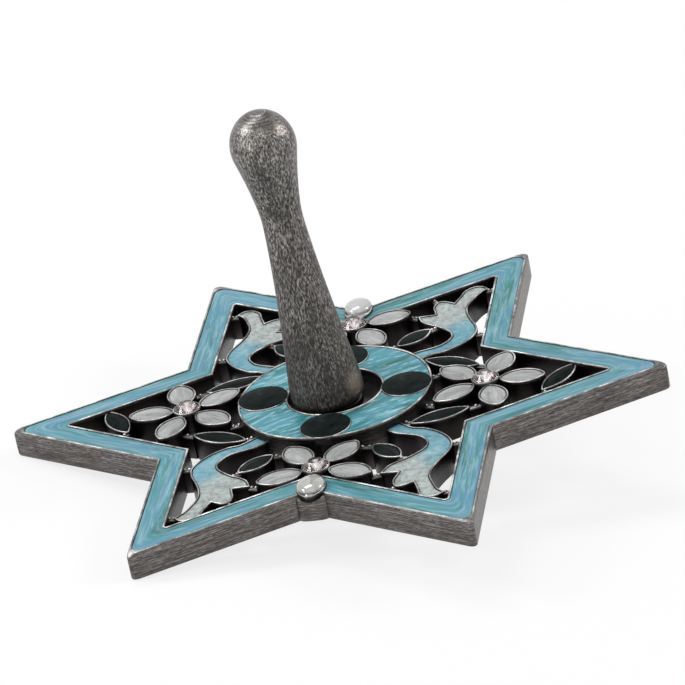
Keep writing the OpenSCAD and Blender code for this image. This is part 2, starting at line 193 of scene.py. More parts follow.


# patina and painted shade darken what lies below the height called bare
def turnedRound(bm, profile, centre=(0, 0), start=0, sweep=360, steps=72, patinaAndShade=0, bare=99, closed=False):
    layer = bm.verts.layers.float["patinaAndShade"]
    c, s = math.cos(math.radians(start)), math.sin(math.radians(start))
    verts = [bm.verts.new((centre[0] + r * c, centre[1] + r * s, z)) for r, z in profile]
    edges = [bm.edges.new(pair) for pair in zip(verts, verts[1:])]
    if closed:
        edges.append(bm.edges.new((verts[-1], verts[0])))
    before = set(bm.verts) - set(verts)
    bmesh.ops.spin(
        bm, geom=verts + edges, cent=(centre[0], centre[1], 0), axis=(0, 0, 1),
        angle=math.radians(sweep), steps=steps, use_merge=sweep == 360, use_duplicate=False,
    )
    made = [v for v in bm.verts if v not in before]
    for v in made:
        v[layer] = 0.0 if v.co.z > bare else patinaAndShade
    flow = bm.loops.layers.uv["flow"]
    widest = max(r for r, _ in profile)
    for face in {f for v in made for f in v.link_faces}:
        turns = [math.atan2(x.vert.co.y - centre[1], x.vert.co.x - centre[0]) for x in face.loops]
        for corner, a in zip(face.loops, turns):
            if max(turns) - min(turns) > math.pi and a < 0:
                a += 2 * math.pi
            r = math.hypot(corner.vert.co.x - centre[0], corner.vert.co.y - centre[1])
            corner[flow].uv = (a * widest / flowUnit, (corner.vert.co.z - r) / flowUnit)


def capEnds(bm):
    bmesh.ops.holes_fill(bm, edges=[e for e in bm.edges if len(e.link_faces) == 1], sides=0)


# Cleans a finished mesh, marks its sharp edges and what is polished, and hands it over
def makePiece(name, bm, finishes, slotName, stands, sharp=48):
    bmesh.ops.remove_doubles(bm, verts=bm.verts, dist=mergeGap)
    bmesh.ops.dissolve_degenerate(bm, edges=bm.edges, dist=mergeGap)
    bmesh.ops.recalc_face_normals(bm, faces=bm.faces)
    bmesh.ops.scale(bm, vec=(mm, mm, mm), verts=bm.verts)
    bm.normal_update()
    for f in bm.faces:
        f.smooth = True
    for e in bm.edges:
        if len(e.link_faces) == 2 and e.calc_face_angle() > math.radians(sharp):
            e.smooth = False
    polish = bm.verts.layers.float.new("polish")
    patinaAndShade = bm.verts.layers.float["patinaAndShade"]
    for v in bm.verts:
        if v.normal.z < -0.5:
            v[patinaAndShade] = min(v[patinaAndShade], 0.3)  # the underside is nearly bare
        v[polish] = min(max((v.normal.z - 0.5) / 0.45, 0.0), 1.0) * (1 - v[patinaAndShade])
    mesh = bpy.data.meshes.new(name)
    bm.to_mesh(mesh)
    bm.free()
    for finish in finishes:
        mesh.materials.append(finish)
    piece = bpy.data.objects.new(name, mesh)
    scene.collection.objects.link(piece)
    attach(piece, "root")
    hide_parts(*stands)


# Shader nodes


# Links what is a socket and sets what is a value
def feed(tree, node, inputs):
    for key, value in inputs.items():
        if isinstance(value, bpy.types.NodeSocket):
            tree.links.new(value, node.inputs[key])
        else:
            node.inputs[key].default_value = value


def addNode(tree, kind, inputs, **settings):
    made = tree.nodes.new("ShaderNode" + kind)
    for key, value in settings.items():
        setattr(made, key, value)
    feed(tree, made, inputs)
    return made.outputs


def objectPlace(tree):
    return addNode(tree, "TexCoord", {})["Object"]


def flowMap(tree):
    return addNode(tree, "UVMap", {}, uv_map="flow")["UV"]


def attribute(tree, name):
    return addNode(tree, "Attribute", {}, attribute_name=name)["Fac"]


def mapping(tree, vector, scale, turn=0):
    inputs = {"Vector": vector, "Scale": scale, "Rotation": (0, 0, math.radians(turn))}
    return addNode(tree, "Mapping", inputs)["Vector"]


def noise(tree, vector, scale, detail, roughness=0.5, distortion=0.0):
    return addNode(tree, "TexNoise", {
        "Vector": vector, "Scale": scale, "Detail": detail, "Roughness": roughness, "Distortion": distortion,
    })


def maths(tree, operation, *values):
    return addNode(tree, "Math", dict(enumerate(values)), operation=operation)["Value"]


def vectorMaths(tree, operation, *values):
    return addNode(tree, "VectorMath", dict(enumerate(values)), operation=operation)


def scaled(tree, vector, amount):
    return addNode(tree, "VectorMath", {0: vector, "Scale": amount}, operation="SCALE")["Vector"]


# A value that runs through a span, given out as it runs from one amount to the other
def spanned(tree, value, span, amounts, kind="LINEAR"):
    keys = ("Value", "From Min", "From Max", "To Min", "To Max")
    inputs = dict(zip(keys, (value, *span, *amounts)))
    return addNode(tree, "MapRange", inputs, interpolation_type=kind)["Result"]


def blended(tree, share, a, b):
    return addNode(tree, "Mix", {"Factor": share, "A": a, "B": b})["Result"]


def mixColour(tree, share, a, b, blendType="MIX"):
    a, b = [(*colour, 1) if isinstance(colour, tuple) else colour for colour in (a, b)]
    # a Mix node has its colours at inputs 6 and 7 and at output 2
    return addNode(tree, "Mix", {0: share, 6: a, 7: b}, data_type="RGBA", blend_type=blendType)[2]


# Lays a colour over another where a value runs through a span
def laidOver(tree, under, value, colour, span, amounts):
    return mixColour(tree, spanned(tree, value, span, amounts), under, colour)


def ramp(tree, value, stops, interpolation="LINEAR"):
    made = tree.nodes.new("ShaderNodeValToRGB")
    feed(tree, made, {"Fac": value})
    made.color_ramp.interpolation = interpolation
    while len(made.color_ramp.elements) < len(stops):
        made.color_ramp.elements.new(0.5)
    for element, (place, colour) in zip(made.color_ramp.elements, stops):
        element.position = place
        element.color = (*colour, 1)
    return made.outputs["Color"]


def bump(tree, height, strength, under=None):
    inputs = {"Height": height, "Strength": strength, "Distance": 0.0001}
    if under is not None:
        inputs["Normal"] = under
    return addNode(tree, "Bump", inputs)["Normal"]


def newFinish(name):
    finish = bpy.data.materials.new(name)
    finish.use_nodes = True
    return finish, finish.node_tree, finish.node_tree.nodes["Principled BSDF"]


# Effects that several finishes share, each a group built once


# The inputs are given as names and kinds of socket, and every output is a value
def newGroup(name, inputs, outputs):
    tree = bpy.data.node_groups.new(name, "ShaderNodeTree")
    for key, kind in inputs.items():
        tree.interface.new_socket(key, in_out="INPUT", socket_type="NodeSocket" + kind)
    for key in outputs:
        tree.interface.new_socket(key, in_out="OUTPUT", socket_type="NodeSocketFloat")
    return tree, tree.nodes.new("NodeGroupInput").outputs, tree.nodes.new("NodeGroupOutput")


def useGroup(tree, group, inputs):
    return addNode(tree, "Group", inputs, node_tree=group)


# Milky currents in poured enamel: broad cloud, thin streaks and hints of other tints
def makeCurrents():
    inputs = {"Vector": "Vector", "Scale": "Float", "Stretch": "Vector"}
    tree, given, out = newGroup("currents", inputs, ("Cloud", "Streaks", "Hints"))
    drawn = vectorMaths(tree, "MULTIPLY", given["Vector"], given["Stretch"])["Vector"]
    grown = scaled(tree, drawn, given["Scale"])
    swirl = scaled(tree, noise(tree, grown, 1.3, 2.0)["Color"], 0.7)
    bent = vectorMaths(tree, "ADD", grown, swirl)["Vector"]
    feed(tree, out, {
        "Cloud": noise(tree, bent, 1.6, 3.0, 0.55)["Fac"],
        "Streaks": noise(tree, bent, 6.0, 5.0, 0.6, 0.2)["Fac"],
        "Hints": noise(tree, bent, 3.1, 2.0, 0.5, 0.4)["Fac"],
    })
    return tree


# Marks of casting and brushing: lengthwise lines, pits and stains
def makeBrushing():
    inputs = {"Flow": "Vector", "Place": "Vector"}
    tree, given, out = newGroup("brushing", inputs, ("Lines", "Pits", "Stains"))
    long = vectorMaths(tree, "MULTIPLY", given["Flow"], (1.1, 24.0, 1.0))["Vector"]
    short = vectorMaths(tree, "MULTIPLY", given["Flow"], (7.0, 44.0, 1.0))["Vector"]
    strokes, dashes = noise(tree, long, 2.0, 6.0, 0.75)["Fac"], noise(tree, short, 2.0, 4.0, 0.7)["Fac"]
    feed(tree, out, {
        "Lines": blended(tree, 0.45, strokes, dashes),
        "Pits": noise(tree, given["Place"], 3800.0, 4.0, 0.7)["Fac"],
        "Stains": noise(tree, given["Place"], 420.0, 4.0, 0.6)["Fac"],
    })
    return tree


currents = makeCurrents()
brushing = makeBrushing()

# Cast pewter, polished where it faces up, with painted shade darkening its walls towards the foot. What is
# laid over a metal is a colour, the span of the value that brings it in (heights and distances in metres) and
# the amounts at the span's two ends.
pewterLook = {
    "walls": [(0.38, (0.028, 0.025, 0.024)), (0.5, (0.12, 0.112, 0.108)), (0.6, (0.36, 0.35, 0.34))],
    "stain": ((0.13, 0.09, 0.07), (0.52, 0.75), (0.0, 0.45)),
    # painted shade: the walls darken towards the star's foot
    "low": ((0.06, 0.05, 0.045), (0.0062, 0.0098), (0.45, 0.0)),
    # dark patina, which also serves as painted shade in the openings and hollows
    "patinaAndShade": (0.018, 0.015, 0.015),
    "polished": [(0.36, (0.13, 0.127, 0.125)), (0.5, (0.38, 0.378, 0.375)), (0.64, (0.86, 0.86, 0.86))],
    "roughness": (0.28, 0.46), "grooves": 0.4, "pits": 0.1,
}


def makePewter():
    look = pewterLook
    finish, tree, shader = newFinish("castPewter")
    place = objectPlace(tree)
    height = addNode(tree, "SeparateXYZ", {"Vector": place})["Z"]
    marks = useGroup(tree, brushing, {"Flow": flowMap(tree), "Place": place})
    colour = ramp(tree, marks["Lines"], look["walls"])
    colour = laidOver(tree, colour, marks["Stains"], *look["stain"])
    # painted shade, darker towards the bottom of the casting
    colour = laidOver(tree, colour, height, *look["low"])
    # patina and painted shade: near black on inner walls, wells and the low sides of ties
    colour = mixColour(tree, attribute(tree, "patinaAndShade"), colour, look["patinaAndShade"])
    colour = mixColour(tree, attribute(tree, "polish"), colour, ramp(tree, marks["Stains"], look["polished"]))
    feed(tree, shader, {
        "Base Color": colour,
        "Metallic": 1.0,
        "Roughness": spanned(tree, marks["Lines"], (0.3, 0.7), look["roughness"]),
        "Normal": bump(tree, marks["Pits"], look["pits"], bump(tree, marks["Lines"], look["grooves"])),
    })
    return finish


# Turned pewter: speckled, with turning lines on its crown, dark at its foot and one painted warm highlight
# there
handleLook = {
    "speckle": [(0.38, (0.032, 0.029, 0.027)), (0.5, (0.14, 0.13, 0.122)), (0.62, (0.45, 0.43, 0.41))],
    "drawn": (1.6, 1.6, 0.5), "turned": (0.03, 0.03, 3.6), "crown": (0.0438, 0.0446), "crownLines": 0.45,
    "cloud": ((0.06, 0.054, 0.05), (0.45, 0.62), (0.0, 0.6)),
    "foot": ((0.035, 0.031, 0.028), (0.0105, 0.026), (0.55, 0.0)),
    # painted highlight: a warm lit patch near the foot
    "paintedWarmHighlight": ((0.42, 0.35, 0.27), (0.0003, 0.0022), (0.7, 0.0)), "paintedWarmHighlightAt": (0.0039, -0.0022, 0.0123),
    "worn": (0.034, 0.042), "roughness": (0.5, 0.2), "speckleRoughness": 0.2, "pits": 0.35,
}


def makeHandleMetal():
    look = handleLook
    finish, tree, shader = newFinish("handlePewter")
    place = objectPlace(tree)
    height = addNode(tree, "SeparateXYZ", {"Vector": place})["Z"]
    marks = useGroup(tree, brushing, {"Place": mapping(tree, place, look["drawn"])})
    lines = useGroup(tree, brushing, {"Place": mapping(tree, place, look["turned"])})
    onCrown = spanned(tree, height, look["crown"], (0.0, look["crownLines"]))
    grain = blended(tree, onCrown, marks["Pits"], lines["Pits"])
    colour = ramp(tree, grain, look["speckle"])
    colour = laidOver(tree, colour, marks["Stains"], *look["cloud"])
    colour = laidOver(tree, colour, height, *look["foot"])
    # painted highlight, a warm patch of reflected light near the foot
    away = vectorMaths(tree, "DISTANCE", place, look["paintedWarmHighlightAt"])["Value"]
    colour = laidOver(tree, colour, away, *look["paintedWarmHighlight"])
    worn = spanned(tree, height, look["worn"], look["roughness"])
    feed(tree, shader, {
        "Base Color": colour,
        "Metallic": 1.0,
        "Roughness": maths(tree, "MULTIPLY_ADD", grain, look["speckleRoughness"], worn),
        "Normal": bump(tree, grain, look["pits"]),
    })
    return finish


steelLook = {"drawn": (0.15, 0.15, 4.0), "colours": [(0.3, (0.3, 0.29, 0.28)), (0.7, (0.55, 0.54, 0.53))]}


def makeSteel():
    finish, tree, shader = newFinish("turnedSteel")
    marks = useGroup(tree, brushing, {"Place": mapping(tree, objectPlace(tree), steelLook["drawn"])})
    feed(tree, shader, {
        "Base Color": ramp(tree, marks["Pits"], steelLook["colours"]),
        "Metallic": 1.0,
        "Roughness": spanned(tree, marks["Pits"], (0.0, 1.0), (0.2, 0.36)),
        "Normal": bump(tree, marks["Pits"], 0.15),
    })
    return finish


# What the enamels share. stops run from the dark to the pale currents, and veil is the colour of the
# thin streaks, which come up to their most over the span of strokes.
plainEnamel = {
    "byFlow": True, "turn": 0, "strokes": (0.42, 0.72), "gloss": 0.2, "coatIor": 1.5, "waves": 0.08,
    "roughness": (0.22, 0.4), "fade": None, "tinted": 0.0,
    "tints": [(0.36, (0.35, 0.56, 0.42)), (0.46, (0.5, 0.5, 0.5)),
              (0.56, (0.5, 0.5, 0.5)), (0.64, (0.6, 0.48, 0.58))],
}
turquoiseLook = {
    **plainEnamel, "scale": 2.6, "stretch": (0.16, 1.0, 1.0), "tinted": 0.7,
    "stops": [(0.32, (0.04, 0.17, 0.18)), (0.45, (0.07, 0.25, 0.29)),
              (0.58, (0.1, 0.28, 0.38)), (0.68, (0.2, 0.35, 0.44))],
    "veil": (0.34, 0.54, 0.57), "strokes": (0.46, 0.7), "most": 0.65,
}
ringTurquoiseLook = {
    **plainEnamel, "byFlow": False, "scale": 270.0, "stretch": (0.3, 1.2, 1.0), "turn": -32, "tinted": 0.5,
    "stops": [(0.32, (0.03, 0.12, 0.12)), (0.44, (0.05, 0.23, 0.27)),
              (0.58, (0.08, 0.3, 0.38)), (0.68, (0.2, 0.42, 0.45))],
    "veil": (0.34, 0.62, 0.69), "strokes": (0.5, 0.66), "most": 0.9,
}
petalLook = {
    **plainEnamel, "scale": 9.0, "stretch": (0.25, 1.0, 1.0),
    "stops": [(0.34, (0.25, 0.26, 0.255)), (0.5, (0.34, 0.355, 0.345)), (0.66, (0.44, 0.45, 0.44))],
    "veil": (0.6, 0.61, 0.6), "most": 0.45,
}
pearlLook = {
    **plainEnamel, "scale": 3.0, "stretch": (0.8, 1.0, 1.0), "gloss": 1.0, "coatIor": 2.0,
    "stops": [(0.34, (0.3, 0.31, 0.27)), (0.5, (0.43, 0.43, 0.41)), (0.66, (0.52, 0.5, 0.505))],
    "veil": (0.5, 0.5, 0.49), "most": 0.3,
}
darkLook = {
    **plainEnamel, "scale": 2.2, "stretch": (0.5, 1.0, 1.0), "gloss": 0.02,
    "stops": [(0.32, (0.003, 0.006, 0.006)), (0.5, (0.01, 0.015, 0.014)), (0.66, (0.026, 0.034, 0.033))],
    "veil": (0.03, 0.042, 0.04), "most": 0.25,
}
scrollLook = {
    **plainEnamel, "byFlow": False, "scale": 260.0, "stretch": (1.0, 1.0, 1.0),
    "stops": [(0.3, (0.07, 0.22, 0.28)), (0.5, (0.12, 0.32, 0.4)), (0.7, (0.22, 0.42, 0.48))],
    "veil": (0.38, 0.58, 0.61), "most": 0.45,
    "fade": {
        "along": (-0.62, 0.78, 0.0), "span": (0.0062, 0.0105), "ragged": 0.006,
        "stops": [(0.35, (0.25, 0.28, 0.27)), (0.65, (0.5, 0.51, 0.48))],
    },
}


# The scrolls turn to pearl grey along a direction that is folded alike into all four quarters
def fadedOut(tree, colour, place, milk, fade):
    folded = vectorMaths(tree, "ABSOLUTE", place)["Vector"]
    outward = vectorMaths(tree, "DOT_PRODUCT", folded, fade["along"])["Value"]
    ragged = maths(tree, "MULTIPLY_ADD", milk["Cloud"], fade["ragged"], outward)
    pale = spanned(tree, ragged, fade["span"], (0.0, 1.0), "SMOOTHSTEP")
    return mixColour(tree, pale, colour, ramp(tree, milk["Streaks"], fade["stops"]))


# Coloured enamel under a clear gloss
def makeEnamel(name, look):
    finish, tree, shader = newFinish(name)
    place = objectPlace(tree)
    vector = flowMap(tree) if look["byFlow"] else mapping(tree, place, (1, 1, 1), look["turn"])
    milk = useGroup(tree, currents, {"Vector": vector, "Scale": look["scale"], "Stretch": look["stretch"]})
    colour = ramp(tree, milk["Cloud"], look["stops"], "EASE")
    if look["tinted"]:
        tint = ramp(tree, milk["Hints"], look["tints"])
        colour = mixColour(tree, look["tinted"], colour, tint, "SOFT_LIGHT")
    if look["fade"]:
        colour = fadedOut(tree, colour, place, milk, look["fade"])
    streaks = spanned(tree, milk["Streaks"], look["strokes"], (0.0, look["most"]))
    feed(tree, shader, {
        "Base Color": mixColour(tree, streaks, colour, look["veil"]),
        "Roughness": spanned(tree, milk["Streaks"], (0.0, 1.0), look["roughness"]),
        "Specular IOR Level": look["gloss"] / 3,
        "Coat Weight": look["gloss"],
        "Coat Roughness": 0.05,
        "Coat IOR": look["coatIor"],
        "Normal": bump(tree, milk["Cloud"], look["waves"]),
    })
    return finish


stoneLook = {
    "haze": [(0.3, (0.97, 0.95, 0.95)), (0.7, (1.0, 1.0, 1.0))], "ior": 1.6,
    "stoneFoil": [(0.35, (0.5, 0.46, 0.45)), (0.65, (0.85, 0.82, 0.82))],
    # painted shade: dark foil standing in for the facets' dark reflections
    "paintedShadeFoil": [(0.35, (0.05, 0.03, 0.03)), (0.65, (0.22, 0.15, 0.14))],
}


def makeGlass():
    finish, tree, shader = newFinish("clearStone")
    haze = noise(tree, objectPlace(tree), 900.0, 2.0)["Fac"]
    feed(tree, shader, {
        "Base Color": ramp(tree, haze, stoneLook["haze"]),
        "Roughness": 0.0,
        "IOR": stoneLook["ior"],
        "Transmission Weight": 1.0,
    })
    return finish


def makeFoil(name):
    finish, tree, shader = newFinish(name)
    tarnish = noise(tree, objectPlace(tree), 1400.0, 3.0)["Fac"]
    colour = ramp(tree, tarnish, stoneLook[name])
    feed(tree, shader, {"Base Color": colour, "Metallic": 1.0, "Roughness": 0.12})
    return finish


pewter = makePewter()
handlePewter = makeHandleMetal()
turnedSteel = makeSteel()
turquoise = makeEnamel("turquoiseEnamel", turquoiseLook)
ringTurquoise = makeEnamel("ringTurquoiseEnamel", ringTurquoiseLook)
petalGrey = makeEnamel("petalEnamel", petalLook)
pearlGrey = makeEnamel("pearlEnamel", pearlLook)
darkEnamel = makeEnamel("darkEnamel", darkLook)
scrollEnamel = makeEnamel("scrollEnamel", scrollLook)
stoneFinishes = [makeGlass(), makeFoil("stoneFoil"), makeFoil("paintedShadeFoil")]
casting = ([pewter], "pewter", ["star_casting"])  # what every piece of the casting is given
sideWords, quarterWords = ("east", "north", "west", "south"), ("ne", "nw", "sw", "se")
print("finishes made")

# The star's rim: one casting whose cross-section runs round inset, height, tip radius, patina and painted
# shade
starRim = {"tip": 38.4, "width": 3.4, "edge": 0.37, "line": 0.29, "enamelTip": 1.0, "enamelInnerTip": 0.65}
rimSection = [
    (0.4, 6.4, 0.6, 0.6), (0.15, 6.44, 0.5, 0.4), (0.03, 6.56, 0.45, 0.0), (0.0, 6.75, 0.42, 0.0),
    (0.0, 7.6, 0.4, 0.0), (0.0, 8.6, 0.4, 0.0), (0.0, 9.3, 0.42, 0.0), (0.04, 9.5, 0.5, 0.2),
    (0.1, 9.62, 0.6, 0.3), (0.17, 9.685, 0.75, 0.3), (0.24, 9.7, 0.88, 0.3),
    (0.3, 9.69, 0.95, 0.4), (0.34, 9.66, 0.98, 0.6),
    (0.36, 9.58, 1.0, 0.7), (0.36, 9.1, 1.0, 1.0), (3.12, 9.12, 0.55, 1.0), (3.12, 9.58, 0.55, 0.7),
    (3.14, 9.66, 0.52, 0.1), (3.2, 9.69, 0.45, 0.0), (3.32, 9.7, 0.35, 0.0), (3.37, 9.67, 0.3, 0.0),
    (3.4, 9.58, 0.25, 0.5), (3.4, 9.2, 0.25, 1.0), (3.4, 6.55, 0.25, 1.0), (3.3, 6.42, 0.3, 1.0),
]


def rimOutline(gap, roundR, pieces=12):
    points = []
    tip = starRim["tip"] - 2 * gap
    for i in range(6):
        centre = polar(tip - 2 * roundR, 60 * i)
        points += [centre + polar(roundR, 60 * i + 15 * k) for k in range(-4, 5)]
        start = points[-1]
        notch = polar(tip * math.tan(math.radians(30)), 60 * i + 30)
        end = polar(tip - 2 * roundR, 60 * i + 60) + polar(roundR, 60 * i)
        points += [start.lerp(notch, k / pieces) for k in range(1, pieces)]
        points += [notch.lerp(end, k / pieces) for k in range(pieces)]
    return points


def buildRim():
    bm = newMesh()
    loft(bm, [(rimOutline(gap, roundR), z, patinaAndShade) for gap, z, roundR, patinaAndShade in rimSection], closed=True)
    makePiece("star_rim", bm, *casting)


# The fill is made round the whole star and cut to one half
def buildRimEnamel(name, sign):
    bm = newMesh()
    first, last = starRim["edge"], starRim["width"] - starRim["line"]
    section = [(first, -0.5), (first, -0.17), (first + 0.03, -0.12), (first + 0.1, -0.1)]
    for t in (0, 0.15, 0.35, 0.5, 0.65, 0.85, 1):
        section.append((first + 0.25 + (last - first - 0.5) * t, -0.09 + 0.03 * math.sin(math.pi * t)))
    section += [(last - 0.1, -0.1), (last - 0.03, -0.12), (last, -0.17), (last, -0.52)]
    rings = []
    for gap, drop in section:
        share = (gap - first) / (last - first)
        roundR = starRim["enamelTip"] - (starRim["enamelTip"] - starRim["enamelInnerTip"]) * share
        rings.append((rimOutline(gap, roundR), levels["rim"] + drop, 0.0))
    loft(bm, rings, closed=True)
    whole = bm.verts[:] + bm.edges[:] + bm.faces[:]
    bmesh.ops.bisect_plane(bm, geom=whole, plane_co=(0, 0, 0), plane_no=(sign, 0, 0), clear_inner=True)
    capEnds(bm)
    makePiece(name, bm, [turquoise], "turquoise_enamel", [name])


buildRim()
buildRimEnamel("rim_enamel_east", 1)
buildRimEnamel("rim_enamel_west", -1)
print("rim made")

# The hub with its ring of enamel, its four spots and the well that the handle stands in
hub = {
    "r": 11.2, "side": 11.15, "well": 5.45, "wellTop": 5.5, "floor": 8.7, "bed": 9.85, "line": 0.26,
    "seat": 3.0, "seatTop": 9.6, "socket": 3.25, "socketTop": 7.2, "outerBreak": 4.3, "wellBreak": 6.1,
}
spot = {"at": 8.325, "r": 2.975, "line": 0.22, "lap": 0.03, "over": 0.11, "dome": 0.2}


# A metal line that stands up from its foot, with a rounded top
def lineSection(inner, outer, top, foot):
    return [
        (inner, foot), (inner, top - 0.4), (inner, top - 0.12), (inner + 0.03, top - 0.04),
        (inner + 0.09, top), (outer - 0.09, top),
        (outer - 0.03, top - 0.04), (outer, top - 0.12), (outer, top - 0.4), (outer, foot),
    ]


def hubSection():
    side, well, wellTop, bed = hub["side"], hub["well"], hub["wellTop"], hub["bed"]
    seat, seatTop, floor, bottom = hub["seat"], hub["seatTop"], hub["floor"], levels["bottom"]
    return [
        (0, hub["socketTop"]), (hub["socket"], hub["socketTop"]), (hub["socket"], bottom),
        (side - 0.1, bottom), (side, bottom + 0.1), (side, bottom + 0.5), (side, bed), (wellTop, bed),
        (wellTop, floor + 0.1), (well, floor), (seat + 0.12, floor), (seat, floor + 0.12),
        (seat, seatTop - 0.2), (seat - 0.1, seatTop - 0.12), (0, seatTop - 0.12),
    ]


def spotSection(top):
    r, inner, bottom = spot["r"], spot["r"] - spot["line"], levels["bottom"]
    return [
        (0, bottom + 0.04), (r - 0.08, bottom + 0.04), (r, bottom + 0.14), (r, bottom + 0.6),
        (r, top - 0.14), (r - 0.03, top - 0.05), (r - 0.08, top), (r - 0.14, top),
        (inner + 0.02, top - 0.05), (inner, top - 0.14), (inner, top - 0.55), (0, top - 0.55),
    ]


# The ring's two lines break off where the spots swell past them
def buildHub():
    bm = newMesh()
    # patina and painted shade on the hub's walls and well
    turnedRound(bm, hubSection(), patinaAndShade=0.9)
    top, line = levels["ring"], hub["line"]
    outerLine = lineSection(hub["r"] - line, hub["r"], top, levels["bottom"] + 0.1)
    wellLine = lineSection(hub["well"], hub["well"] + line, top, hub["floor"] + 0.02)
    for side in range(4):
        for section, start in ((outerLine, hub["outerBreak"]), (wellLine, hub["wellBreak"])):
            turnedRound(
                bm, section, start=90 * side + start, sweep=90 - 2 * start, steps=28,
                patinaAndShade=0.9, bare=top - 0.3, closed=True,
            )
    capEnds(bm)
    for side in range(4):
        centre = polar(spot["at"], 90 * side)
        turnedRound(bm, spotSection(top), centre=centre, steps=48, patinaAndShade=0.7, bare=top - 0.1)
    makePiece("hub", bm, *casting)


# One quarter of the ring, between two spots
def ringCell(gap, quarter):
    low, high = hub["well"] + hub["line"] + gap, hub["r"] - hub["line"] - gap
    bulge = spot["r"] - spot["lap"] + gap

    def turnAt(r):
        return math.degrees(math.acos((r**2 + spot["at"] ** 2 - bulge**2) / (2 * r * spot["at"])))

    def bow(centre, start, end):
        a, b = (start - centre), (end - centre)
        first, sweep = math.degrees(math.atan2(a.y, a.x)), math.degrees(b.angle_signed(a))
        return [centre + polar(bulge, first + sweep * k / 10) for k in range(1, 10)]

    outer = [polar(high, turnAt(high) + (90 - 2 * turnAt(high)) * k / 24) for k in range(25)]
    inner = [polar(low, 90 - turnAt(low) - (90 - 2 * turnAt(low)) * k / 14) for k in range(15)]
    east, north = polar(spot["at"], 0), polar(spot["at"], 90)
    points = outer + bow(north, outer[-1], inner[0]) + inner + bow(east, inner[-1], outer[0])
    return placedAt(points, Vector((0, 0)), 90 * quarter)


def buildRingEnamel(name, quarter):
    bm = newMesh()
    top = levels["ring"] - 0.1
    section = [(0.0, top - 0.5), (0.0, top - 0.07), (0.03, top - 0.02), (0.12, top), (0.4, top + 0.02)]
    loft(bm, [(ringCell(gap, quarter), z, 0.0) for gap, z in section], capFirst=True, capLast=True)
    makePiece(name, bm, [ringTurquoise], "turquoise_enamel", [name])


# The spot's enamel swells over its line
def buildSpot(name, side):
    bm = newMesh()
    r, inner, top = spot["r"] - spot["over"], spot["r"] - spot["line"] - 0.01, levels["ring"]
    section = [
        (0, top - 0.6), (inner, top - 0.6), (inner, top - 0.02), (r, top - 0.01),
        (r + 0.01, top + 0.015), (r - 0.02, top + 0.035),
    ]
    for t in (0.97, 0.92, 0.84, 0.74, 0.62, 0.48, 0.34, 0.2, 0.1, 0):
        section.append((r * t, top + 0.02 + spot["dome"] * (1 - t**2)))
    turnedRound(bm, section, centre=polar(spot["at"], 90 * side), steps=56)
    makePiece(name, bm, [darkEnamel], "dark_enamel", [name])


buildHub()
for quarter, word in enumerate(quarterWords):
    buildRingEnamel("ring_enamel_" + word, quarter)
for side, word in enumerate(sideWords):
    buildSpot("spot_" + word, side)
print("hub made")

# Walls round a cell as inset, drop below the face, and patina with painted shade; the first two rings are at
# the foot
wallSection = [
    (0.05, None, 1.0), (0.0, None, 1.0), (0.0, 0.4, 1.0), (0.0, 0.14, 0.5), (0.02, 0.05, 0.1),
    (0.07, 0.01, 0.0), (0.12, 0.0, 0.1), (0.17, 0.01, 0.5), (0.22, 0.05, 0.9), (0.24, 0.14, 1.0),
    (0.24, 0.6, 1.0),
]
wallFoot = 0.06  # height of the bevel at a wall's foot
fill = {"edge": 0.25, "depth": 0.6, "sunk": 0.1}


def buildWall(bm, insetOf, face, foot=levels["bottom"]):
    rings = []
    for k, (gap, drop, patinaAndShade) in enumerate(wallSection):
        z = foot + wallFoot * k if drop is None else face - drop
        rings.append((insetOf(gap), z, patinaAndShade))
    loft(bm, rings, capFirst=True, capLast=True)


# Enamel in a cell, domed from its edge to the last of the insets
def buildFill(bm, insetOf, face, dome, insets):
    edge = fill["edge"]
    rings = [
        (insetOf(edge), face - fill["depth"], 0.0), (insetOf(edge), face - 0.2, 0.0),
        (insetOf(edge + 0.03), face - 0.13, 0.0),
    ]
    for inset in insets:
        t = (inset - edge) / (insets[-1] - edge)
        rings.append((insetOf(inset), face - fill["sunk"] + dome * (1 - (1 - t) ** 2), 0.0))
    return loft(bm, rings, capFirst=True, capLast=True)


# Four flowers: five petals round a stone in its cup. Two petals cross the rim and start in its channel.
flower = {
    "at": 17.361, "from": 1.4, "length": 5.6, "width": 3.4, "dome": 0.2, "overRim": 9.2,
    "insets": (0.34, 0.44, 0.58, 0.76, 0.98, 1.2, 1.4),
}
cup = {"r": 1.6, "inner": 1.44, "floor": 8.9}
pearl = {"long": 1.9, "wide": 1.6, "shift": 0.25, "lift": 0.2, "high": 0.72, "almondInset": 0.36}


def petalPlace(side, k):
    turn = 90 * side + 72 * k
    return polar(flower["at"], 90 * side) + polar(flower["from"] + flower["length"] / 2, turn), turn


def petalInset(centre, turn):
    return lambda gap: placedAt(almondOutline(flower["length"], flower["width"], gap), centre, turn)


def cupSection():
    r, inner, top, bottom = cup["r"], cup["inner"], levels["cup"], levels["bottom"]
    return [
        (0, bottom + 0.04), (r - 0.06, bottom + 0.04), (r, bottom + 0.1), (r, bottom + 0.6), (r, top - 0.4),
        (r, top - 0.1), (r - 0.02, top - 0.03), (r - 0.06, top), (r - 0.11, top), (inner + 0.01, top - 0.04),
        (inner, top - 0.12), (inner, cup["floor"]), (0, cup["floor"]),
    ]


def buildFlowerWalls(name, side):
    bm = newMesh()
    for k in range(5):
        foot = flower["overRim"] if k == 0 and side % 2 else levels["bottom"]
        buildWall(bm, petalInset(*petalPlace(side, k)), levels["flower"], foot)
    centre = polar(flower["at"], 90 * side)
    turnedRound(bm, cupSection(), centre=centre, steps=48, patinaAndShade=0.8, bare=levels["cup"] - 0.2)
    makePiece(name, bm, *casting)


def buildPetals(name, side, first):
    bm = newMesh()
    for k in range(first, 5):
        centre, turn = petalPlace(side, k)
        made = buildFill(bm, petalInset(centre, turn), levels["flower"], flower["dome"], flower["insets"])
        flowAlong(bm, made, centre, turn)
    makePiece(name, bm, [petalGrey], "grey_enamel", [name])


